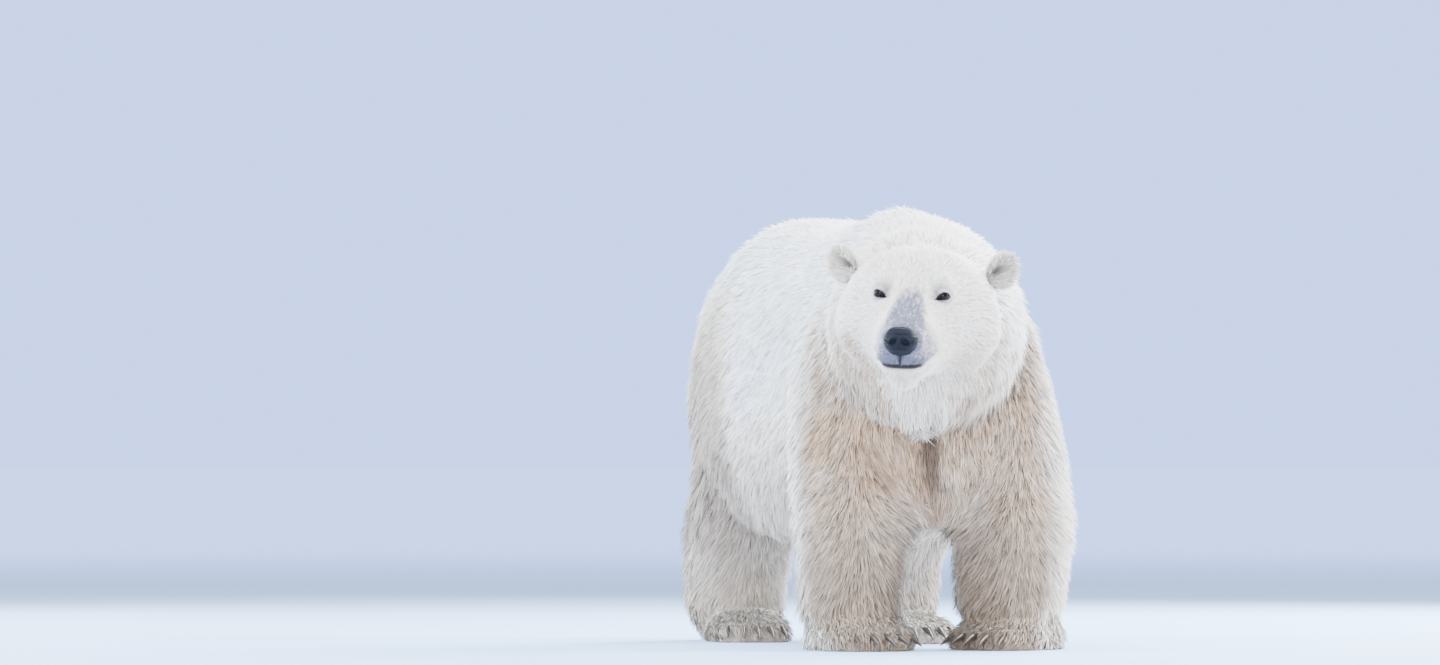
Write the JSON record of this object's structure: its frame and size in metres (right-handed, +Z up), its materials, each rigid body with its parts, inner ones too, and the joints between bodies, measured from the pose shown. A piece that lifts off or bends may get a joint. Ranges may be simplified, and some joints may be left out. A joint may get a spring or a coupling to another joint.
{
  "type": "standing polar bear model",
  "caption": "Life-size standing polar bear as a still museum-style model, head turned to one side, resting on four flat-soled paws.",
  "frame": {"origin": "on the floor, under the middle of the bear's bounding box", "axes": "+Z up; the bear faces -Y and its right side is -X, so +Y runs from nose to tail"},
  "size_m": [0.694, 2.1486, 1.0907],
  "materials": {
    "fur": "dense creamy white winter coat, long overlapping guard hair",
    "leg_fur": "the same coat, stained warm tan on chest and legs",
    "nose_skin": "bare dark slate nose skin, finely pebbled and slightly moist",
    "eye_brown": "dark brown eye with a wet gloss",
    "horn": "dark brown-black horn with a dull sheen"
  },
  "bodies": {
    "root": {"claw_fore_left_1": "horn", "claw_fore_left_2": "horn", "claw_fore_left_3": "horn", "claw_fore_left_4": "horn", "claw_fore_left_5": "horn", "claw_fore_right_1": "horn", "claw_fore_right_2": "horn", "claw_fore_right_3": "horn", "claw_fore_right_4": "horn", "claw_fore_right_5": "horn", "claw_hind_left_1": "horn", "claw_hind_left_2": "horn", "claw_hind_left_3": "horn", "claw_hind_left_4": "horn", "claw_hind_left_5": "horn", "claw_hind_right_1": "horn", "claw_hind_right_2": "horn", "claw_hind_right_3": "horn", "claw_hind_right_4": "horn", "claw_hind_right_5": "horn", "ear_left": "fur", "ear_right": "fur", "eye_left": "eye_brown", "eye_right": "eye_brown", "foreleg_left": "leg_fur", "foreleg_right": "leg_fur", "forepaw_left": "leg_fur", "forepaw_right": "leg_fur", "head": "fur", "hindleg_left": "leg_fur", "hindleg_right": "leg_fur", "hindpaw_left": "leg_fur", "hindpaw_right": "leg_fur", "neck": "fur", "nose_pad": "nose_skin", "tail": "fur", "trunk": "fur"}
  },
  "joints": []
}
